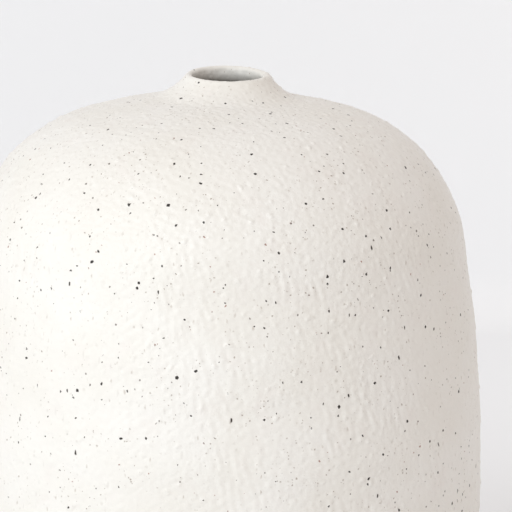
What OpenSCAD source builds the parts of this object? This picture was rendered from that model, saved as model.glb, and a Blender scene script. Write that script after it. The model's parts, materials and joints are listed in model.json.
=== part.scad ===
// Large bottle vase in speckled stoneware, thrown in two sections with a small neck.
// Millimetres, +Z up; the origin is the middle of the foot on the surface it stands on.

/* [Overall] */
// Height from the table to the top of the lip
vase_h = 370; // [300:1:450]
// Widest diameter over the glaze
body_d = 300; // [245:1:365]
// Height of the widest part above the table
belly_z = 142; // [115:1:175]

/* [Curves of the wall] */
// Radius of the long, almost straight curve of the side
side_r = 820; // [600:10:1200]
// Radius of the shoulder, where the side turns in
shoulder_r = 86; // [70:1:105]
// Radius of the shallow dome on top
crown_r = 266; // [220:1:320]
// Radius of the heel, where the side turns under
heel_r = 62; // [50:1:75]

/* [Clay] */
// Thickness of the thrown wall
wall_t = 8; // [6:0.5:10]
// Thickness of the floor
floor_t = 10; // [7:0.5:13]

/* [Neck] */
// Diameter of the throat, inside the glaze
throat_d = 40; // [32:0.5:50]
// Thickness of the glazed lip
lip_t = 4; // [3:0.1:5]
// Height of the lip over the top of the dome
neck_h = 10.6; // [8:0.1:16]
// Radius of the hollow curve from the dome up to the lip
flare_r = 31; // [24:1:40]
// Angle by which the neck leans to +X about the middle of the dome
neck_lean = 1.1; // [0:0.1:2]
// Width of dome that the collar carries round its flare
collar_rim = 3; // [2:0.5:8]
// Rounding at the lower end of the throat
throat_round = 3; // [2:0.5:4]

/* [Foot] */
// Height of the bare foot ring
foot_h = 7; // [5:0.5:12]
// Width of the foot ring
foot_w = 14; // [12:0.5:18]
// Step in from the flat underside to the foot ring
foot_step = 1.5; // [1:0.5:6]
// Bevel on the lower edges of the foot ring
foot_bevel = 1.2; // [0.5:0.1:2]

/* [Luted joints] */
// Height of the seam between the two thrown sections
seam_z = 196; // [150:1:220]
// Thickness of the slip in each joint
slip_t = 1.2; // [0.6:0.1:2]
// Width of the ridge that keys one section to the next
key_w = 4; // [3:0.5:5]
// Height of that ridge
key_h = 3; // [2:0.5:4]

/* [Glaze] */
// Thickness of the speckled glaze outside
glaze_t = 0.5; // [0.3:0.1:1]
// Thickness of the liner glaze inside
liner_t = 0.5; // [0.3:0.1:1]
// Height of bare clay between the underside and the edge of the glaze
bare_h = 5; // [3:0.5:10]

/* [Felt pads] */
// Diameter of a pad
pad_d = 10; // [8:0.5:12]
// Thickness of a pad
pad_t = 2; // [1:0.5:3]

/* [Hidden] */
pad_count = 4;
$fn = 144;

// Largest turn of one straight piece of a curve, in degrees
side_step = 1.5;
curve_step = 5;
crown_step = 0.5;
// Spare length of a cutting shape past the surface that it cuts
spare = 20;

// Heights, from the table up
foot_top = pad_t + foot_h;
floor_z = foot_top + slip_t;
floor_top = floor_z + floor_t;
dome_top = vase_h - neck_h - glaze_t;

// Centres of the curves in the (radius, height) plane of the clay's outer face
side_c = [body_d / 2 - glaze_t - side_r, belly_z];
crown_c = [0, dome_top - crown_r];
shoulder_c = meet(side_c, side_r - shoulder_r, crown_c, crown_r - shoulder_r);
heel_c = heel_centre(0, floor_z, heel_r);
inner_heel_r = heel_r - wall_t;
inner_heel_c = heel_centre(-wall_t, floor_top, inner_heel_r);
lip_clay_r = lip_t / 2 - glaze_t;
lip_c = [throat_d / 2 + lip_t / 2, vase_h - lip_t / 2];
flare_c = meet(lip_c, lip_t / 2 + flare_r - glaze_t, crown_c, crown_r + flare_r);
throat_clay_r = throat_d / 2 + glaze_t;
ease_x = throat_clay_r + throat_round;
ease_c = [ease_x, crown_c.y + sqrt(pow(crown_r - wall_t + throat_round, 2) - pow(ease_x, 2))];

// Directions in which one curve hands over to the next, from straight up towards the outside
crown_to_shoulder = bearing(crown_c, shoulder_c);
shoulder_to_side = bearing(side_c, shoulder_c);
side_to_heel = bearing(side_c, heel_c);
side_to_inner_heel = bearing(side_c, inner_heel_c);
seam_low = side_bearing(seam_z);
seam_high = side_bearing(seam_z + slip_t);
glaze_from = 180 - acos((heel_c.y - floor_z - bare_h) / heel_r);
crown_to_flare = bearing(crown_c, flare_c);
lip_to_flare = bearing(lip_c, flare_c);
ease_to_crown = bearing(ease_c, crown_c);

// The collar's bevelled edge and the seat around it, both at 45 degrees
collar_top = polar(crown_c, crown_r, crown_to_flare + collar_rim / crown_r * 180 / PI);
seat_top = on_circle(collar_top + [slip_t * sqrt(2), 0], crown_c, crown_r);

foot_r = heel_c.x - foot_step;
foot_inner_r = foot_r - foot_w;

// Bearing of one point from another, in degrees from straight up towards the outside
function bearing(from, to) = atan2(to.x - from.x, to.y - from.y);

// Point at distance r from c on a bearing
function polar(c, r, a) = c + r * [sin(a), cos(a)];

// Points of an arc, from one bearing to another; first = 1 leaves out the first point
function arc(c, r, from, to, step, first = 0) =
    let (n = max(1, ceil(abs(to - from) / step)))
    [for (i = [first:n]) polar(c, r, from + (to - from) * i / n)];

// The point at distance da from a and db from b, to the left on the way from a to b
function meet(a, da, b, db) =
    let (d = norm(b - a), u = (b - a) / d, s = (da * da - db * db + d * d) / (2 * d))
    a + s * u + sqrt(da * da - s * s) * [-u.y, u.x];

// Where the 45 degree line down through p meets the circle round c, on its upper side
function on_circle(p, c, r) =
    let (v = [1, 1] / sqrt(2), d = p - c, b = d * v)
    p + (sqrt(b * b - d * d + r * r) - b) * v;

// Centre of a heel that is tangent to the side, offset by t, and to a flat floor
function heel_centre(t, flat_z, r) =
    let (reach = side_r + t - r, drop = flat_z + r - belly_z)
    [side_c.x + sqrt(reach * reach - drop * drop), flat_z + r];

// Bearing on the side at height z
function side_bearing(z) = acos((z - belly_z) / side_r);

// The wall, offset by t, in the stretches that the sections and the coats share
function bare_heel(t) = arc(heel_c, heel_r + t, 180, glaze_from, curve_step);
function glazed_heel(t, first = 0) =
    arc(heel_c, heel_r + t, glaze_from, side_to_heel, curve_step, first);
function inner_heel(t) =
    arc(inner_heel_c, inner_heel_r + t, 180, side_to_inner_heel, curve_step);
function lower_side(t, from) = arc(side_c, side_r + t, from, seam_low, side_step, 1);
function upper_side(t) = concat(
    arc(side_c, side_r + t, seam_high, shoulder_to_side, side_step),
    arc(shoulder_c, shoulder_r + t, shoulder_to_side, crown_to_shoulder, curve_step, 1)
);

// Both sides of a joint, from its outer to its inner edge, with a ridge in the middle
function joint(outer, inner) =
    let (mid = (outer + inner) / 2, out = (outer - inner) / norm(outer - inner))
    [outer, mid + key_w / 2 * out, mid + key_h * [-out.y, out.x], mid - key_w / 2 * out, inner];
function foot_joint(z) = joint([foot_r, z], [foot_inner_r, z]);
function seam_joint(a) = joint(polar(side_c, side_r, a), polar(side_c, side_r - wall_t, a));
function turned(points) = [for (i = [len(points) - 1:-1:0]) points[i]];

// The collar's faces, offset by t, from the shoulder over the lip and down the throat
function collar_face(t, from) = concat(
    arc(crown_c, crown_r + t, from, crown_to_flare, crown_step),
    arc(flare_c, flare_r - t, crown_to_flare - 180, lip_to_flare - 180, curve_step, 1),
    arc(lip_c, lip_clay_r + t, lip_to_flare, -90, 3 * curve_step, 1),
    arc(ease_c, throat_round + t, -90, ease_to_crown, 3 * curve_step)
);

// A solid of revolution whose outline runs over the wall points and is then cut off by the dome.
// The dome is part of a ball, so the neck can lean about its middle without leaving it.
module domed(points, t) {
    intersection() {
        rotate_extrude()
            polygon(concat(
                [[0, points[0].y]],
                points,
                [[points[len(points) - 1].x, vase_h + spare], [0, vase_h + spare]]
            ));
        translate([0, 0, crown_c.y])
            sphere(r = crown_r + t);
    }
}

// The hollow inside the clay, drawn in by t
module hollow(t) {
    inset = -wall_t - t;
    domed(
        concat(inner_heel(-t), lower_side(inset, side_to_inner_heel), upper_side(inset)),
        inset
    );
}

// The neck turns about the middle of the dome, so that its crown stays on the dome
module leaning() {
    translate([0, 0, crown_c.y])
        rotate([0, neck_lean, 0])
            translate([0, 0, -crown_c.y])
                children();
}

// A round cutting shape that leans with the neck. It is turned, so that the line where its
// surface closes stays clear of the line where the dome's ball closes.
module leaning_cut(points) {
    leaning()
        rotate([0, 0, 45])
            rotate_extrude()
                polygon(points);
}

// Everything inside the seat's cone, which the upper body leaves for the collar
module seat_cut() {
    low = seat_top - [1, 1] * (wall_t + spare) / 2;
    high = seat_top + [1, 1] * spare / 2;
    leaning_cut([[0, low.y], low, high, [0, high.y]]);
}

// Four felt pads, stuck under the foot ring
module foot_pad(i) {
    color("dimgray")
        rotate([0, 0, (i - 0.5) * 360 / pad_count])
            translate([(foot_r + foot_inner_r) / 2, 0, 0])
                cylinder(d = pad_d, h = pad_t);
}

// Turned foot ring, with a ridge on top that keys into the floor
module foot_ring() {
    color("tan")
        rotate_extrude()
            polygon(concat(
                [
                    [foot_inner_r, pad_t + foot_bevel],
                    [foot_inner_r + foot_bevel, pad_t],
                    [foot_r - foot_bevel, pad_t],
                    [foot_r, pad_t + foot_bevel]
                ],
                foot_joint(foot_top)
            ));
}

// Slip between the foot ring and the floor
module foot_slip() {
    color("peru")
        rotate_extrude()
            polygon(concat(foot_joint(foot_top), turned(foot_joint(floor_z))));
}

// Lower thrown section: floor, heel and the side up to the seam
module lower_body() {
    inside = concat(inner_heel(0), lower_side(-wall_t, side_to_inner_heel));
    seam = seam_joint(seam_low);
    color("burlywood")
        rotate_extrude()
            polygon(concat(
                [[0, floor_z]],
                turned(foot_joint(floor_z)),
                bare_heel(0),
                glazed_heel(0, 1),
                lower_side(0, side_to_heel),
                [seam[1], seam[2], seam[3]],
                turned(inside),
                [[0, floor_top]]
            ));
}

// Slip in the seam between the two thrown sections
module seam_slip() {
    color("peru")
        rotate_extrude()
            polygon(concat(seam_joint(seam_low), turned(seam_joint(seam_high))));
}

// Upper thrown section: the side above the seam, the shoulder and the dome
module upper_body() {
    seam = turned(seam_joint(seam_high));
    color("burlywood")
        difference() {
            domed(concat([seam[0], seam[1], seam[2], seam[3]], upper_side(0)), 0);
            hollow(0);
            seat_cut();
        }
}

// Slip around the bevelled edge of the collar
module neck_slip() {
    color("peru")
        leaning()
            rotate_extrude()
                polygon([
                    collar_top,
                    on_circle(collar_top, crown_c, crown_r - wall_t),
                    on_circle(seat_top, crown_c, crown_r - wall_t),
                    seat_top
                ]);
}

// Collar thrown on top: the neck, the lip and the throat
module neck_collar() {
    face = collar_face(0, bearing(crown_c, collar_top));
    edge = on_circle(collar_top, crown_c, crown_r - wall_t);
    underside = arc(
        crown_c, crown_r - wall_t, bearing(crown_c, ease_c), bearing(crown_c, edge), crown_step, 1
    );
    color("burlywood")
        leaning()
            rotate_extrude()
                polygon(concat(face, underside));
}

// Speckled glaze over the body, from just above the foot up to the collar
module body_glaze() {
    side = concat(glazed_heel(glaze_t), lower_side(glaze_t, side_to_heel), upper_side(glaze_t));
    clay = concat(bare_heel(0), glazed_heel(0, 1), lower_side(0, side_to_heel), upper_side(0));
    color("ivory")
        difference() {
            domed(side, glaze_t);
            domed(clay, 0);
            seat_cut();
        }
}

// The same glaze on the collar: over its edge and the lip, and down the throat
module neck_glaze() {
    edge = on_circle(seat_top, crown_c, crown_r + glaze_t);
    color("ivory")
        leaning()
            rotate_extrude()
                polygon(concat(
                    collar_face(glaze_t, bearing(crown_c, edge)),
                    turned(collar_face(0, bearing(crown_c, collar_top))),
                    [seat_top]
                ));
}

// Liner glaze that seals the inside, up to the end of the throat
module liner_glaze() {
    way = bearing(crown_c, ease_c);
    color("whitesmoke")
        difference() {
            hollow(0);
            hollow(liner_t);
            leaning_cut([
                [0, crown_c.y],
                polar(crown_c, crown_r, way),
                [0, crown_c.y + crown_r]
            ]);
        }
}

foot_pad(1);  // foot_pad_1
foot_pad(2);  // foot_pad_2
foot_pad(3);  // foot_pad_3
foot_pad(4);  // foot_pad_4
foot_ring();
foot_slip();
lower_body();
seam_slip();
upper_body();
neck_slip();
neck_collar();
body_glaze();
neck_glaze();
liner_glaze();
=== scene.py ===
import json
import math

import bpy
import numpy as np
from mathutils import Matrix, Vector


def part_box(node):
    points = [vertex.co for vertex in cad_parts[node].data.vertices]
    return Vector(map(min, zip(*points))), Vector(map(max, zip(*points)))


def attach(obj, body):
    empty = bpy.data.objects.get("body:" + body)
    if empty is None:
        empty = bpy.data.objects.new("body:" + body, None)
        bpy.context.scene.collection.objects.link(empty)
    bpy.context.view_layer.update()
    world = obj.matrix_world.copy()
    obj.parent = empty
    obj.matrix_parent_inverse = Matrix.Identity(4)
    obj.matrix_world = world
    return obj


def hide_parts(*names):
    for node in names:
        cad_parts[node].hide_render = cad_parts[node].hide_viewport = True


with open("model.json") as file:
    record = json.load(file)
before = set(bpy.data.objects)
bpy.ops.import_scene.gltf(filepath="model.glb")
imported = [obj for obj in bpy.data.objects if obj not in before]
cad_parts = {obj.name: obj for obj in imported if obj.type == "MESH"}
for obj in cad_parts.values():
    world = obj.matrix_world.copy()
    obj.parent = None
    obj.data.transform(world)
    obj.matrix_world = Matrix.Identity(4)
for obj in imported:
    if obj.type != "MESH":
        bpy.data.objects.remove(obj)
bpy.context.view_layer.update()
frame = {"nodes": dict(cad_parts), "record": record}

# ---------------------------------------------------------------------------
# Clay sections: buff stoneware with iron in it, thrown in a lower and an upper
# section and a collar, and luted with slip. The clay shows bare only round the
# foot and on the underside, where the glaze is wiped off before firing.
# ---------------------------------------------------------------------------


def math_node(tree, operation, a, b=0.0, c=0.0, clamp=False):
    """One Math node, whose inputs are numbers or sockets; gives its output socket."""
    node = tree.nodes.new("ShaderNodeMath")
    node.operation = operation
    node.use_clamp = clamp
    for socket, value in zip(node.inputs, (a, b, c)):
        if isinstance(value, bpy.types.NodeSocket):
            tree.links.new(value, socket)
        else:
            socket.default_value = value
    return node.outputs[0]


def iron_speck_group():
    """Iron specks as a mask over the surface.

    Space is cut into cells of about Cell metres, and a Share of them holds a ball. The ball's radius
    is at most Radius times the cell, and mostly less. The mask is 1 in its middle and falls to 0 over
    Soft times the radius at its edge. A little noise keeps the balls from being round.
    """
    group = bpy.data.node_groups.new("iron specks", "ShaderNodeTree")
    group.interface.new_socket("Vector", in_out="INPUT", socket_type="NodeSocketVector")
    for socket in ("Cell", "Radius", "Share", "Soft"):
        group.interface.new_socket(socket, in_out="INPUT", socket_type="NodeSocketFloat")
    group.interface.new_socket("Mask", in_out="OUTPUT", socket_type="NodeSocketFloat")
    enter = group.nodes.new("NodeGroupInput").outputs
    leave = group.nodes.new("NodeGroupOutput").inputs
    ragged = group.nodes.new("ShaderNodeTexNoise")
    ragged.inputs["Scale"].default_value = 800.0
    ragged.inputs["Detail"].default_value = 1.0
    group.links.new(enter["Vector"], ragged.inputs["Vector"])
    place = group.nodes.new("ShaderNodeVectorMath")
    place.operation = "MULTIPLY_ADD"
    place.inputs[1].default_value = (0.0012, 0.0012, 0.0012)
    group.links.new(ragged.outputs["Color"], place.inputs[0])
    group.links.new(enter["Vector"], place.inputs[2])
    cells = group.nodes.new("ShaderNodeTexVoronoi")
    group.links.new(place.outputs[0], cells.inputs["Vector"])
    group.links.new(math_node(group, "DIVIDE", 1.0, enter["Cell"]), cells.inputs["Scale"])
    chance = group.nodes.new("ShaderNodeSeparateColor")
    group.links.new(cells.outputs["Color"], chance.inputs[0])
    radius = math_node(group, "POWER", chance.outputs[1], 1.3)
    radius = math_node(group, "MAXIMUM", math_node(group, "MULTIPLY", radius, enter["Radius"]), 0.01)
    depth = math_node(group, "DIVIDE", cells.outputs["Distance"], radius)
    depth = math_node(group, "SUBTRACT", 1.0, depth)
    depth = math_node(group, "DIVIDE", depth, enter["Soft"], clamp=True)
    held = math_node(group, "LESS_THAN", chance.outputs[0], enter["Share"])
    group.links.new(math_node(group, "MULTIPLY", depth, held), leave["Mask"])
    return group


iron_specks = iron_speck_group()


class Recipe:
    """A clay, slip or glaze: a material, its Principled BSDF and short ways to add nodes to them."""

    def __init__(self, name, roughness, specular):
        self.material = bpy.data.materials.new(name)
        self.material.use_nodes = True
        self.tree = self.material.node_tree
        self.shader = self.tree.nodes["Principled BSDF"]
        self.shader.inputs["Roughness"].default_value = roughness
        self.shader.inputs["Specular IOR Level"].default_value = specular
        self.where = self.tree.nodes.new("ShaderNodeTexCoord").outputs["Object"]

    def stretched(self, x, y, z, turn=0.0):
        """Object coordinates turned about Y and scaled: a small scale makes a pattern long that way."""
        node = self.tree.nodes.new("ShaderNodeMapping")
        node.inputs["Scale"].default_value = (x, y, z)
        node.inputs["Rotation"].default_value = (0.0, turn, 0.0)
        self.tree.links.new(self.where, node.inputs["Vector"])
        return node.outputs[0]

    def noise(self, size, detail=3.0, vector=None):
        """Cloudy noise from 0 to 1 whose features are about size metres across."""
        node = self.tree.nodes.new("ShaderNodeTexNoise")
        node.inputs["Scale"].default_value = 1.0 / size
        node.inputs["Detail"].default_value = detail
        self.tree.links.new(vector or self.where, node.inputs["Vector"])
        return node.outputs["Fac"]

    def specks(self, cell, radius, share, soft, vector=None):
        """The iron speck mask with these values."""
        node = self.tree.nodes.new("ShaderNodeGroup")
        node.node_tree = iron_specks
        self.tree.links.new(vector or self.where, node.inputs["Vector"])
        for socket, value in zip(("Cell", "Radius", "Share", "Soft"), (cell, radius, share, soft)):
            node.inputs[socket].default_value = value
        return node.outputs["Mask"]

    def band(self, value, low, high, to_low=0.0, to_high=1.0):
        """The part of a value between low and high, stretched to lie between two others."""
        node = self.tree.nodes.new("ShaderNodeMapRange")
        for socket, number in zip(node.inputs[1:5], (low, high, to_low, to_high)):
            socket.default_value = number
        self.tree.links.new(value, node.inputs[0])
        return node.outputs[0]

    def over(self, ground, coat, mask):
        """A colour, with another over it as far as the mask goes."""
        node = self.tree.nodes.new("ShaderNodeMix")
        node.data_type = "RGBA"
        self.tree.links.new(mask, node.inputs["Factor"])
        colours = [socket for socket in node.inputs if socket.type == "RGBA"]
        for socket, colour in zip(colours, (ground, coat)):
            if isinstance(colour, bpy.types.NodeSocket):
                self.tree.links.new(colour, socket)
            else:
                socket.default_value = (*colour, 1.0)
        return next(socket for socket in node.outputs if socket.type == "RGBA")

    def sum(self, *terms):
        """Sockets added up, each times its weight."""
        total = 0.0
        for socket, weight in terms:
            total = math_node(self.tree, "MULTIPLY_ADD", socket, weight, total)
        return total

    def fire(self, colour, roughness, height, distance):
        """Joins colour, roughness and relief, distance metres deep, to the shader."""
        links = self.tree.links
        links.new(colour, self.shader.inputs["Base Color"])
        links.new(roughness, self.shader.inputs["Roughness"])
        bump = self.tree.nodes.new("ShaderNodeBump")
        bump.inputs["Distance"].default_value = distance
        links.new(height, bump.inputs["Height"])
        links.new(bump.outputs[0], self.shader.inputs["Normal"])
        return self.material


def bare_clay(name, pale, deep):
    """Fired clay: cloudy buff, dark iron specks, a sandy grain and fine turning lines round the axis."""
    mix = Recipe(name, roughness=0.85, specular=0.3)
    iron = (0.055, 0.032, 0.02)
    small = mix.specks(0.0022, 0.20, 0.6, 0.5)
    large = mix.specks(0.0075, 0.11, 0.5, 0.3)
    grain = mix.noise(0.0009, 2.0)
    lines = mix.noise(0.0016, 2.0, mix.stretched(0.05, 0.05, 1.0))
    colour = mix.over(pale, deep, mix.band(mix.noise(0.03), 0.35, 0.65))
    colour = mix.over(colour, iron, mix.band(small, 0.0, 1.0, 0.0, 0.7))
    colour = mix.over(colour, iron, large)
    height = mix.sum((grain, 0.6), (lines, 0.35), (large, -0.4))
    return mix.fire(colour, mix.band(grain, 0.3, 0.7, 0.78, 0.95), height, 0.00025)


clay = bare_clay("bare clay", (0.50, 0.40, 0.29), (0.40, 0.31, 0.22))
slip = bare_clay("joint slip", (0.44, 0.34, 0.24), (0.36, 0.27, 0.19))


def keep_node(name, material):
    """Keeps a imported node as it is, in this material."""
    materials = frame["nodes"][name].data.materials
    materials.clear()
    materials.append(material)


for section in ("lower_body", "upper_body"):
    keep_node(section, clay)
for joint in ("foot_slip", "seam_slip", "neck_slip"):
    keep_node(joint, slip)

# ---------------------------------------------------------------------------
# Foot ring: a ring of the same clay, turned while leather-hard and luted under
# the floor. Its edges are sponged round and it is never glazed.
# ---------------------------------------------------------------------------


def put_mesh(name, points, faces, material, normals=None, uv=None):
    """A smooth closed mesh that rides on the vase.

    points is (n, 3). faces is a list of arrays, one for each number of corners. normals are for the
    points, and uv for the faces' corners, in their order.
    """
    mesh = bpy.data.meshes.new(name)
    corners = np.concatenate([part.ravel() for part in faces]).astype(np.int32)
    counts = np.concatenate([np.full(len(part), part.shape[1]) for part in faces])
    starts = np.cumsum(counts) - counts
    mesh.vertices.add(len(points))
    mesh.vertices.foreach_set("co", np.ascontiguousarray(points, np.float32).ravel())
    mesh.loops.add(len(corners))
    mesh.loops.foreach_set("vertex_index", corners)
    mesh.polygons.add(len(counts))
    mesh.polygons.foreach_set("loop_start", starts.astype(np.int32))
    mesh.polygons.foreach_set("use_smooth", np.ones(len(counts), bool))
    mesh.update(calc_edges=True)
    if uv is not None:
        layer = mesh.uv_layers.new(name="OFBake")
        layer.uv.foreach_set("vector", np.ascontiguousarray(uv, np.float32).ravel())
    if normals is not None:
        mesh.normals_split_custom_set_from_vertices(normals.tolist())
    mesh.materials.append(material)
    piece = bpy.data.objects.new(name, mesh)
    bpy.context.collection.objects.link(piece)
    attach(piece, "root")
    return piece


def arc(centre, radius, start, stop, step):
    """Points of an arc, at bearings from +Z towards the outside in degrees, about step metres apart."""
    count = max(2, round(abs(math.radians(stop - start)) * abs(radius) / step) + 1)
    turn = np.radians(np.linspace(start, stop, count))[:, None]
    return np.array(centre) + radius * np.hstack([np.sin(turn), np.cos(turn)])


def lathe(outline, turns):
    """An outline of (radius, height) points turned about +Z, and the angle of each turn."""
    angle = np.linspace(0, 2 * np.pi, turns, endpoint=False)[:, None]
    radius = outline[:, 0] + 0 * angle
    height = outline[:, 1] + 0 * angle
    return np.stack([radius * np.cos(angle), radius * np.sin(angle), height], -1), angle


def lathe_faces(turns, count, closed):
    """Quads between the turns of an outline that runs clockwise, so that they face outwards."""
    index = np.arange(turns * count).reshape(turns, count)
    if closed:
        index = np.hstack([index, index[:, :1]])
    after = np.roll(index, -1, axis=0)
    return np.stack([index[:, :-1], index[:, 1:], after[:, 1:], after[:, :-1]], -1).reshape(-1, 4)


ring_width = 0.014
ring_edge = 0.0013
ring_low, ring_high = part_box("foot_ring")
ring_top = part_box("foot_slip")[0][2]
ring_outer = ring_high[0]
ring_inner = ring_outer - ring_width
ring_outline = np.concatenate([
    arc((ring_outer - ring_edge, ring_top - ring_edge), ring_edge, 0, 90, 0.0004),
    arc((ring_outer - ring_edge, ring_low[2] + ring_edge), ring_edge, 90, 180, 0.0004),
    arc((ring_inner + ring_edge, ring_low[2] + ring_edge), ring_edge, 180, 270, 0.0004),
    arc((ring_inner + ring_edge, ring_top - ring_edge), ring_edge, 270, 360, 0.0004),
])
ring_turns = 288
ring_points, angle = lathe(ring_outline, ring_turns)
# The ring wanders a little from round, always inwards.
wander = 0.0012 * np.sin(3 * angle + 0.6) + 0.0006 * np.sin(7 * angle) - 0.002
ring_points[..., :2] *= 1 + wander[..., None]
foot_ring = put_mesh(
    "turned_foot_ring",
    ring_points.reshape(-1, 3),
    [lathe_faces(ring_turns, len(ring_outline), closed=True)],
    clay,
)
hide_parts("foot_ring")

# ---------------------------------------------------------------------------
# Liner glaze: poured in, swirled and poured out, so that the inside holds
# water. It is thinner and glossier than the glaze outside, and a cooler white.
# ---------------------------------------------------------------------------


def liner_recipe():
    """Liner glaze: a cool white with soft runs down the wall, a few specks and pinholes."""
    mix = Recipe("liner glaze", roughness=0.3, specular=0.5)
    runs = mix.noise(0.012, 3.0, mix.stretched(1.0, 1.0, 0.2))
    faint = mix.specks(0.005, 0.14, 0.5, 0.6)
    pinholes = mix.specks(0.004, 0.07, 0.4, 0.5)
    colour = mix.over((0.50, 0.47, 0.43), (0.60, 0.575, 0.535), mix.band(runs, 0.35, 0.65))
    colour = mix.over(colour, (0.20, 0.16, 0.13), mix.band(faint, 0.0, 1.0, 0.0, 0.7))
    height = mix.sum((runs, 0.8), (pinholes, -0.5))
    return mix.fire(colour, mix.band(runs, 0.3, 0.7, 0.22, 0.36), height, 0.0003)


keep_node("liner_glaze", liner_recipe())

# ---------------------------------------------------------------------------
# Body glaze: a satin off-white glaze half a millimetre thick, from just above
# the foot up to the collar. It follows the clay under it: slow throwing rings,
# drag marks of the rib, and grains of grog that stand proud or tore out.
# ---------------------------------------------------------------------------

vase_height = 0.370
belly_height = 0.142
side_radius = 0.820
shoulder_radius = 0.086
crown_radius = 0.266
heel_radius = 0.062
bare_height = 0.005
glaze_thickness = 0.0005
wall_thickness = 0.008
neck_height = 0.0106
throat = frame["record"]["mounts"][1]
neck_lean = math.asin(throat["axis"][0])

body_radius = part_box("body_glaze")[1][0]
floor_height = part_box("lower_body")[0][2]
glaze_edge = floor_height + bare_height
dome_top = vase_height - neck_height - glaze_thickness


def touching(a, reach_a, b, reach_b):
    """The point at a distance from each of two points, to the left on the way from a to b."""
    gap = math.dist(a, b)
    across = (np.array(b) - a) / gap
    along = (reach_a**2 - reach_b**2 + gap**2) / (2 * gap)
    off = math.sqrt(reach_a**2 - along**2)
    return np.array(a) + along * across + off * np.array([-across[1], across[0]])


def bearing(start, end):
    """Direction from one point to another, in degrees from +Z towards the outside."""
    return math.degrees(math.atan2(end[0] - start[0], end[1] - start[1]))


side_centre = np.array([body_radius - glaze_thickness - side_radius, belly_height])
crown_centre = np.array([0.0, dome_top - crown_radius])
shoulder_centre = touching(
    side_centre, side_radius - shoulder_radius, crown_centre, crown_radius - shoulder_radius
)
heel_reach = side_radius - heel_radius
heel_height = floor_height + heel_radius
heel_out = side_centre[0] + math.sqrt(heel_reach**2 - (heel_height - belly_height) ** 2)
heel_centre = np.array([heel_out, heel_height])
to_edge = 180 - math.degrees(math.acos((heel_radius - bare_height) / heel_radius))
to_heel = bearing(side_centre, heel_centre)
to_shoulder = bearing(side_centre, shoulder_centre)
to_crown = bearing(crown_centre, shoulder_centre)

# The clay's outline from the edge of the glaze to the top of the dome: where it is, which way
# is out, and how far along it each point lies.
curves = (
    (heel_centre, heel_radius, to_edge, to_heel),
    (side_centre, side_radius, to_heel, to_shoulder),
    (shoulder_centre, shoulder_radius, to_shoulder, to_crown),
    (crown_centre, crown_radius, to_crown, 0.0),
)
stretches = [arc(centre, radius, start, stop, 0.0002) for centre, radius, start, stop in curves]
clay_line = np.concatenate(stretches)
clay_out = np.concatenate([(part - curve[0]) / curve[1] for part, curve in zip(stretches, curves)])
clay_way = np.cumsum(np.linalg.norm(np.diff(clay_line, axis=0, prepend=clay_line[:1]), axis=1))


def waves(points, length, seed, count=36):
    """Smooth noise: plane waves of about this length in random directions, added up."""
    rng = np.random.default_rng(seed)
    ways = rng.normal(size=(count, 3))
    pitch = 2 * np.pi / (length * rng.uniform(0.75, 1.35, count))
    ways *= (pitch / np.linalg.norm(ways, axis=1))[:, None]
    total = np.zeros(points.shape[:-1])
    for way, phase in zip(ways, rng.uniform(0, 2 * np.pi, count)):
        total += np.cos(points @ way + phase)
    return total * math.sqrt(2 / count)


relief_lift = 0.00045
wide_rings = 0.00024
narrow_rings = 0.000096
shoulder_start = 0.315


def relief(points):
    """Height of the glazed face over an even coat, in metres, and never below it by much.

    Throwing rings that climb as they go round, broad lumps, drag marks stretched up the side and
    round the shoulder, a fine grain, and proud grains and pits where noise passes a threshold.
    """
    height = points[..., 2]
    spread = np.hypot(points[..., 0], points[..., 1]) / body_radius
    angle = np.arctan2(points[..., 1], points[..., 0])
    lumps = waves(points, 0.05, 11)
    climb = 2 * np.pi * (height + 0.002 * lumps + 0.003 * np.sin(angle))
    rings = wide_rings * np.sin(climb / 0.052 - 1.2) + narrow_rings * np.sin(climb / 0.019)
    steep = np.clip((shoulder_start - height) / 0.04, 0, 1)
    sheared = points + height[..., None] * 0.25 * np.stack([-np.sin(angle), np.cos(angle), 0 * angle], -1)
    drag_up = waves(sheared * [1, 1, 0.3], 0.0045, 13)
    drag_round = waves(points * [0.4, 0.4, 1], 0.0042, 14)
    patches = np.clip(0.35 + 0.6 * waves(points, 0.05, 12), 0, 1)
    drags = (steep * drag_up + (1 - steep) * drag_round) * patches
    grain = waves(points, 0.0040, 15)
    proud = np.clip(waves(points, 0.0050, 16) - 1.7, 0, 1)
    pits = np.clip(waves(points, 0.0044, 17) - 2.0, 0, 1)
    fade = np.clip((height - glaze_edge) / 0.004, 0, 1) * np.clip(spread * 4, 0, 1)
    fine = 0.00011 * drags + 0.00007 * grain + 0.00045 * proud - 0.00030 * pits
    return fade * (relief_lift + rings + 0.00008 * lumps + fine)


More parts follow.
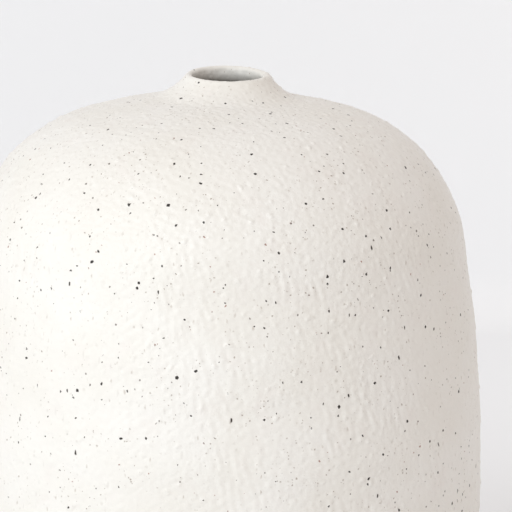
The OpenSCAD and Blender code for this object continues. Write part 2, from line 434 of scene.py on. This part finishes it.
def coat(name, face, back, spacing, closed, material):
    """A thin shell from grids of its outer face and its back, as (rows, columns, 3).

    face is fine and has one spare row or column past each side, to work out its normals. back takes
    every spacing-th row and column of the rest. Rows run up and columns run anticlockwise. Where the
    shell is closed, its last column is its first. Rims join the two grids along their open sides.
    """
    normal = np.cross(face[1:-1, 2:] - face[1:-1, :-2], face[2:, 1:-1] - face[:-2, 1:-1])
    normal /= np.linalg.norm(normal, axis=-1, keepdims=True)
    inward = np.cross(np.gradient(back, axis=0), np.gradient(back, axis=1))
    inward /= np.linalg.norm(inward, axis=-1, keepdims=True)
    face = face[1:-1, 1:-1]
    keep = slice(0, -1 if closed else None)
    point_sets, index_sets, map_sets, first = [], [], [], 0
    for grid, low, high in ((face, 0.04, 0.995), (back, 0.002, 0.014)):
        rows, columns = grid.shape[:2]
        index = first + np.arange(rows * (columns - closed)).reshape(rows, columns - closed)
        first += index.size
        index_sets.append(np.hstack([index, index[:, :1]]) if closed else index)
        across, up = np.meshgrid(np.linspace(0.005, 0.995, columns), np.linspace(low, high, rows))
        map_sets.append(np.stack([across, up], -1))
        point_sets.append(grid[:, keep].reshape(-1, 3))
    normals = np.concatenate([normal[:, keep].reshape(-1, 3), inward[:, keep].reshape(-1, 3)])

    def quads(grid, outward):
        """The corners of each square of a grid, in turn."""
        corners = [grid[:-1, :-1], grid[:-1, 1:], grid[1:, 1:], grid[1:, :-1]]
        corners = np.stack(corners if outward else corners[::-1], 2)
        return corners.reshape(-1, 4, *grid.shape[2:])

    def rim(fine, rough):
        """Faces between an edge of the face and the same edge of the back."""
        spans = np.lib.stride_tricks.sliding_window_view(fine, spacing + 1)[::spacing]
        return np.hstack([spans[:, ::-1], rough[:-1, None], rough[1:, None]])

    fine, rough = index_sets
    edges = [(fine[0], rough[0]), (fine[-1, ::-1], rough[-1, ::-1])]
    if not closed:
        edges += [(fine[:, -1], rough[:, -1]), (fine[::-1, 0], rough[::-1, 0])]
    rims = np.concatenate([rim(*edge) for edge in edges])
    # Each rim face gets a narrow place of its own between the two grids on the map.
    left = 0.005 + 0.99 * np.arange(len(rims)) / len(rims)
    width = 0.8 / len(rims)
    rim_across = np.concatenate([np.linspace(width, 0, spacing + 1), [0, width]])
    rim_up = np.concatenate([np.full(spacing + 1, 0.032), [0.02, 0.02]])
    rim_map = np.stack([left[:, None] + rim_across, rim_up + 0 * left[:, None]], -1)
    return put_mesh(
        name,
        np.concatenate(point_sets),
        [quads(fine, True), quads(rough, False), rims],
        material,
        normals,
        np.concatenate([
            quads(map_sets[0], True).reshape(-1, 2),
            quads(map_sets[1], False).reshape(-1, 2),
            rim_map.reshape(-1, 2),
        ]),
    )


def glaze_recipe(name, painted_shade_part=None):
    """The outside glaze: warm off-white clouds, iron specks of many kinds, grain and pinholes.

    The part mask, where given, marks where painted shade darkens the glaze to near-black, deep in a
    hollow.
    """
    mix = Recipe(name, roughness=0.5, specular=0.5)
    clumps = mix.band(mix.noise(0.02, 2.0), 0.45, 0.58)
    fields = mix.band(mix.noise(0.045, 2.0), 0.44, 0.54, 0.25, 1.0)
    tilted = mix.stretched(1.0, 1.0, 0.5, turn=0.7)
    upright = mix.stretched(1.0, 1.0, 0.3, turn=-0.15)
    haze = mix.specks(0.0040, 0.32, 0.75, 1.0)
    smears = mix.specks(0.0035, 0.29, 0.65, 1.0, upright)
    flecks = mix.specks(0.0032, 0.27, 0.55, 0.8, tilted)
    tiny = math_node(mix.tree, "MULTIPLY", mix.specks(0.0020, 0.36, 0.6, 0.6), clumps)
    small = mix.specks(0.0041, 0.18, 0.65, 0.45)
    leaning = mix.specks(0.0064, 0.13, 0.5, 0.3, tilted)
    large = mix.specks(0.0060, 0.175, 0.9, 0.26)
    grog = mix.specks(0.0060, 0.20, 0.6, 1.0)
    pinholes = mix.specks(0.0060, 0.05, 0.5, 0.5)
    grain = mix.noise(0.0020, 3.0)
    worms = mix.noise(0.0042, 2.0, mix.stretched(1.0, 1.0, 0.4, turn=0.3))
    rust = mix.over((0.09, 0.065, 0.05), (0.30, 0.12, 0.08), mix.band(mix.noise(0.012, 1.0), 0.55, 0.6))
    colour = mix.over((0.815, 0.79, 0.74), (0.84, 0.82, 0.78), mix.band(mix.noise(0.05), 0.38, 0.62))
    colour = mix.over(colour, (0.81, 0.77, 0.73), mix.band(mix.noise(0.016, 2.0), 0.55, 0.75, 0.0, 0.5))
    colour = mix.over(colour, (0.48, 0.44, 0.38), mix.band(haze, 0.0, 1.0, 0.0, 0.34))
    colour = mix.over(colour, (0.50, 0.46, 0.42), mix.band(smears, 0.0, 1.0, 0.0, 0.30))
    colour = mix.over(colour, (0.38, 0.31, 0.25), mix.band(flecks, 0.0, 1.0, 0.0, 0.5))
    colour = mix.over(colour, (0.26, 0.20, 0.15), mix.band(tiny, 0.0, 1.0, 0.0, 0.75))
    colour = mix.over(colour, rust, mix.band(small, 0.0, 1.0, 0.0, 0.85))
    colour = mix.over(colour, (0.03, 0.02, 0.015), leaning)
    colour = mix.over(colour, (0.02, 0.014, 0.011), large)
    if painted_shade_part:
        # Painted shade: the glaze turns near-black deeper in the throat, where shadow falls.
        colour = mix.over(colour, (0.085, 0.07, 0.055), painted_shade_part(mix))
    height = mix.sum((grain, 0.55), (worms, 0.5), (grog, 0.7), (pinholes, -0.8))
    height = math_node(mix.tree, "MULTIPLY", height, fields)
    return mix.fire(colour, mix.band(grain, 0.3, 0.7, 0.44, 0.58), height, 0.0005)


speckled_glaze = glaze_recipe("speckled glaze")


def on_body(angle, way, lift):
    """Points at an angle round the body and a way up its outline, lifted off the clay."""
    radius, height, out_r, out_z = (
        np.interp(way, clay_way, values) for values in (*clay_line.T, *clay_out.T)
    )
    radius = radius + lift * out_r
    points = np.stack([radius * np.cos(angle), radius * np.sin(angle), height + lift * out_z], -1)
    return points, np.stack([out_r * np.cos(angle), out_r * np.sin(angle), out_z], -1)


# The collar's seat is a circle round the leaning axis, so the dome's way to it changes with the angle.
collar_rim = 0.003
slip_thickness = 0.0012
throat_radius = throat["dims"]["r_mm"] / 1000
lip_radius = 0.002
flare_radius = 0.031
lip_centre = np.array([throat_radius + lip_radius, vase_height - lip_radius])
flare_centre = touching(
    lip_centre, lip_radius + flare_radius - glaze_thickness, crown_centre, crown_radius + flare_radius
)
to_flare = bearing(crown_centre, flare_centre)
seat_bearing = math.radians(to_flare) + (collar_rim + slip_thickness * math.sqrt(2)) / crown_radius


def way_to_seat(angle):
    """Way up the outline to the seat: the dome's whole way, less its bearing there times its radius."""
    toward = math.sin(neck_lean) * np.cos(angle)
    tilt = np.arctan2(toward, math.cos(neck_lean))
    reach = np.hypot(toward, math.cos(neck_lean))
    return clay_way[-1] - crown_radius * (tilt + np.arccos(math.cos(seat_bearing) / reach))


# Six patches side by side, finely meshed outside and eight times coarser on their back.
coat_count = 6
coat_columns = 176
coat_rows = 528
back_spacing = 8
for number in range(coat_count):
    turn = (np.arange(-1, coat_columns + 2) / coat_columns + number) / coat_count
    angle = (2 * np.pi * turn - np.pi / 2 - np.pi / coat_count)[None]
    share = np.arange(-1, coat_rows + 2)[:, None] / coat_rows
    way = share * way_to_seat(angle)
    angle = angle + 0 * way
    points, out = on_body(angle, way, glaze_thickness)
    points += relief(points)[..., None] * out
    back, _ = on_body(
        angle[1:-1:back_spacing, 1:-1:back_spacing], way[1:-1:back_spacing, 1:-1:back_spacing], 0.0
    )
    patch = coat(f"body_glaze_{number + 1}", points, back, back_spacing, False, speckled_glaze)
    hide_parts("body_glaze")

# ---------------------------------------------------------------------------
# Neck glaze: the same glaze on the collar, from its edge up the flare, over the
# lip and down the throat. The hand-thrown lip is uneven: it dips to one side,
# where it is thicker, and rises to the other, where it is pulled thin.
# ---------------------------------------------------------------------------

throat_ease = 0.003
ease_radius = throat_ease + glaze_thickness
clay_ease_out = throat_radius + ease_radius
ease_centre = np.array([
    clay_ease_out,
    crown_centre[1]
    + math.sqrt((crown_radius - wall_thickness + throat_ease) ** 2 - clay_ease_out**2),
])
lip_to_flare = bearing(lip_centre, flare_centre)
ease_to_crown = bearing(ease_centre, crown_centre)


def collar_outline(lift, step, start):
    """The collar's outline lifted off the clay: dome, hollow flare, lip, throat and its eased end."""
    bore = throat_radius + glaze_thickness - lift
    drop = np.arange(lip_centre[1] - step, ease_centre[1], -step)
    return np.concatenate([
        arc(crown_centre, crown_radius + lift, start, to_flare, step)[:-1],
        arc(flare_centre, flare_radius - lift, to_flare - 180, lip_to_flare - 180, step)[:-1],
        arc(lip_centre, lip_radius - glaze_thickness + lift, lip_to_flare, -90, step),
        np.stack([bore + 0 * drop, drop], -1),
        arc(ease_centre, throat_ease + lift, -90, ease_to_crown, step)[1:],
    ])


def even_steps(outline, count):
    """The outline again, as count points that are evenly spaced along it."""
    way = np.cumsum(np.linalg.norm(np.diff(outline, axis=0, prepend=outline[:1]), axis=1))
    at = np.linspace(0, way[-1], count)
    return np.stack([np.interp(at, way, outline[:, 0]), np.interp(at, way, outline[:, 1])], -1)


def on_collar(outline, angle):
    """The outline turned about the neck's axis, with the lip uneven, and then leant to +X."""
    radius = outline[:, :1] + 0 * angle
    height = outline[:, 1:] + 0 * angle
    rise = np.clip((height - dome_top) / neck_height, 0, 1) ** 1.5
    outside = np.clip((radius - throat_radius) / (2 * lip_radius), 0, 1)
    front = np.exp(-(((angle + 1.5) / 0.5 + np.pi * 2) % (4 * np.pi) - 2 * np.pi) ** 2)
    dip = 0.00027 - 0.0016 * np.sin(angle) + 0.00027 * np.cos(2 * angle) + 0.0003 * front
    radius = radius + rise * outside * (0.0005 * np.cos(angle) + 0.0002 * np.sin(2 * angle + 0.5))
    height = height - rise * dip - crown_centre[1]
    x = radius * np.cos(angle)
    return np.stack([
        x * math.cos(neck_lean) + height * math.sin(neck_lean),
        radius * np.sin(angle),
        height * math.cos(neck_lean) - x * math.sin(neck_lean) + crown_centre[1],
    ], -1)


neck_rows = 136
neck_columns = 480
turn = 2 * np.pi * np.arange(-1, neck_columns + 2) / neck_columns
collar_start = to_flare + math.degrees(collar_rim / crown_radius)
under_start = bearing(crown_centre, ease_centre)
under_end = collar_start + math.degrees(wall_thickness / crown_radius)
collar_profile = np.concatenate([
    collar_outline(0.0, 0.0006, collar_start),
    arc(crown_centre, crown_radius - wall_thickness, under_start, under_end, 0.003)[1:],
])[::-1]
collar_turns = 240
collar_angle = np.linspace(0, 2 * np.pi, collar_turns, endpoint=False)
collar_points = on_collar(collar_profile, collar_angle[None])
thrown_collar = put_mesh(
    "thrown_collar",
    collar_points.transpose(1, 0, 2).reshape(-1, 3),
    [lathe_faces(collar_turns, len(collar_profile), closed=True)],
    clay,
)
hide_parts("neck_collar")
start = math.degrees(seat_bearing)
outline = even_steps(collar_outline(glaze_thickness, 0.0001, start), neck_rows + 1)
outline = np.concatenate([2 * outline[:1] - outline[1:2], outline, 2 * outline[-1:] - outline[-2:-1]])
points = on_collar(outline, turn[None])
out = np.cross(np.gradient(points, axis=1), np.gradient(points, axis=0))
out /= np.linalg.norm(out, axis=-1, keepdims=True)
depth_in = np.clip((outline[:, 1] - ease_centre[1]) / 0.01, 0.15, 1)[:, None]
points += (relief(points) * np.where(outline[:, :1] < lip_centre[0], depth_in, 1.0))[..., None] * out
back_outline = even_steps(collar_outline(0.0, 0.0001, start), neck_rows // back_spacing + 1)
back = on_collar(back_outline, turn[1:-1:back_spacing][None])


def throat_painted_shade(mix):
    """Mask of painted shade in the throat: 1 inside its radius and well under the lip, 0 on the lip and
    outside.
    """
    place = mix.tree.nodes.new("ShaderNodeSeparateXYZ")
    mix.tree.links.new(mix.where, place.inputs[0])
    across = math_node(mix.tree, "SUBTRACT", place.outputs[0], throat["pos_m"][0])
    across = math_node(mix.tree, "POWER", across, 2.0)
    along = math_node(mix.tree, "POWER", place.outputs[1], 2.0)
    radius = math_node(mix.tree, "SQRT", math_node(mix.tree, "ADD", across, along))
    inside = mix.band(radius, throat_radius + 0.0012, throat_radius + 0.0005)
    under = mix.band(place.outputs[2], lip_centre[1], lip_centre[1] - 0.0055)
    return math_node(mix.tree, "MULTIPLY", inside, under)


# The neck glaze gets painted shade down the throat, darker deeper under the lip.
neck_coat = coat(
    "neck_glaze_coat", points, back, back_spacing, True, glaze_recipe("neck glaze", throat_painted_shade)
)
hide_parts("neck_glaze")

# ---------------------------------------------------------------------------
# Felt pads: four punched discs of pressed wool felt, stuck under the foot ring
# so that the bare clay doesn't scratch the table.
# ---------------------------------------------------------------------------


def felt_recipe():
    """Pressed felt: short tangled fibres in two greys, with a soft sheen."""
    mix = Recipe("pressed felt", roughness=0.95, specular=0.15)
    mix.shader.inputs["Sheen Weight"].default_value = 0.3
    along = mix.noise(0.0007, 4.0, mix.stretched(1.0, 0.35, 1.0))
    across = mix.noise(0.0007, 4.0, mix.stretched(0.35, 1.0, 1.0))
    fibres = mix.sum((along, 0.5), (across, 0.5))
    colour = mix.over((0.10, 0.093, 0.085), (0.19, 0.18, 0.165), mix.band(fibres, 0.35, 0.65))
    return mix.fire(colour, mix.band(fibres, 0.3, 0.7, 0.9, 1.0), fibres, 0.0004)


felt = felt_recipe()
pad_edge = 0.0004
pad_turns = 96
for number in range(1, 5):
    low, high = (np.array(corner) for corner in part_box(f"foot_pad_{number}"))
    middle = (low + high) / 2
    pad_radius = (high[0] - low[0]) / 2
    flat = np.linspace(0.1, 0.92, 8)[:, None] * [pad_radius - pad_edge, 0]
    outline = np.concatenate([
        flat + [0, high[2]],
        arc((pad_radius - pad_edge, high[2] - pad_edge), pad_edge, 0, 90, pad_edge / 4),
        arc((pad_radius - pad_edge, low[2] + pad_edge), pad_edge, 90, 180, pad_edge / 4),
        flat[::-1] + [0, low[2]],
    ])
    points, angle = lathe(outline, pad_turns)
    fuzz = np.random.default_rng(number).normal(0, 0.00003, points.shape)
    cut = 0.99 + 0.006 * np.sin(5 * angle + number)
    points[..., :2] *= cut[..., None]
    points = np.clip(points + fuzz, low - middle * [1, 1, 0], high - middle * [1, 1, 0])
    points[..., :2] += middle[:2]
    caps = [[middle[0], middle[1], high[2]], [middle[0], middle[1], low[2]]]
    first = np.arange(pad_turns) * len(outline)
    last = first + len(outline) - 1
    hub = np.full(pad_turns, points.shape[0] * points.shape[1])
    pad = put_mesh(
        f"felt_pad_{number}",
        np.concatenate([points.reshape(-1, 3), caps]),
        [
            lathe_faces(pad_turns, len(outline), closed=False),
            np.stack([hub, first, np.roll(first, -1)], -1),
            np.stack([hub + 1, np.roll(last, -1), last], -1),
        ],
        felt,
    )
    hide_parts(f"foot_pad_{number}")

# ---------------------------------------------------------------------------
# Studio: a pale floor that curves up into a wall, a large soft key light from
# the left, and white all round. The camera stands ten body radii away, a little
# above, with a long lens. The paper hides nothing from behind or from below.
# ---------------------------------------------------------------------------

cove_distance = 1.04
cove_radius = 0.05
sweep = np.concatenate([
    [[-3.0, 0.0]],
    arc((cove_distance - cove_radius, cove_radius), cove_radius, 180, 90, 0.01),
    [[cove_distance, 3.0]],
])
backdrop_mesh = bpy.data.meshes.new("backdrop")
backdrop_points = [(x, y, z) for x in (-4.0, 4.0) for y, z in sweep.tolist()]
count = len(sweep)
backdrop_mesh.from_pydata(
    backdrop_points, [], [(i, i + count, i + count + 1, i + 1) for i in range(count - 1)]
)
backdrop_mesh.polygons.foreach_set("use_smooth", [True] * (count - 1))
paper = bpy.data.materials.new("white paper")
paper.use_nodes = True
paper_nodes = paper.node_tree.nodes
paper_shader = paper_nodes["Principled BSDF"]
paper_shader.inputs["Base Color"].default_value = (0.875, 0.885, 0.90, 1)
paper_shader.inputs["Roughness"].default_value = 0.9
# The back of the paper is clear to the eye and solid to the light.
from_behind = paper_nodes.new("ShaderNodeNewGeometry").outputs["Backfacing"]
to_the_eye = paper_nodes.new("ShaderNodeLightPath").outputs["Is Camera Ray"]
clear = paper_nodes.new("ShaderNodeBsdfTransparent")
two_sides = paper_nodes.new("ShaderNodeMixShader")
which_side = math_node(paper.node_tree, "MULTIPLY", from_behind, to_the_eye)
for socket, source in zip(two_sides.inputs, (which_side, paper_shader.outputs[0], clear.outputs[0])):
    paper.node_tree.links.new(source, socket)
paper.node_tree.links.new(two_sides.outputs[0], paper_nodes["Material Output"].inputs["Surface"])
backdrop_mesh.materials.append(paper)
backdrop = bpy.data.objects.new("backdrop", backdrop_mesh)
bpy.context.collection.objects.link(backdrop)


def aim(thing, place, target):
    """Puts a light or the camera at a place, looking at a target."""
    thing.location = place
    way = thing.location - type(thing.location)(target)
    thing.rotation_euler = way.to_track_quat("Z", "Y").to_euler()


def soft_light(name, place, size, power, colour, target=(0, 0, 0.2)):
    """A square area light of this size that looks at a target, mostly the vase."""
    light = bpy.data.lights.new(name, "AREA")
    light.size = size
    light.energy = power
    light.color = colour
    lamp = bpy.data.objects.new(name, light)
    bpy.context.collection.objects.link(lamp)
    aim(lamp, place, target)


soft_light("key", (-1.25, -1.5, 1.3), 1.4, 27.0, (0.86, 0.95, 1.0))
soft_light("wall", (1.1, 0.45, 0.8), 0.6, 2.2, (1.0, 1.0, 1.0), (1.0, 1.04, 0.1))
world = bpy.data.worlds.new("studio")
world.use_nodes = True
all_round = world.node_tree.nodes["Background"]
all_round.inputs["Color"].default_value = (1.0, 0.92, 0.875, 1)
all_round.inputs["Strength"].default_value = 0.70
bpy.context.scene.world = world
bpy.context.scene.view_settings.view_transform = "Standard"

camera_data = bpy.data.cameras.new("camera")
camera_data.lens = 193.8
camera_data.sensor_width = 36.0
camera = bpy.data.objects.new("camera", camera_data)
bpy.context.collection.objects.link(camera)
camera_distance = 10.5 * body_radius
camera_rise = math.radians(12.0)
camera_height = 0.628 * vase_height
aim_right = 0.143 * body_radius
aim_height = 0.7173 * vase_height
aim(
    camera,
    (
        0.0,
        -camera_distance * math.cos(camera_rise),
        camera_height + camera_distance * math.sin(camera_rise),
    ),
    (aim_right, 0.0, aim_height),
)
bpy.context.scene.camera = camera
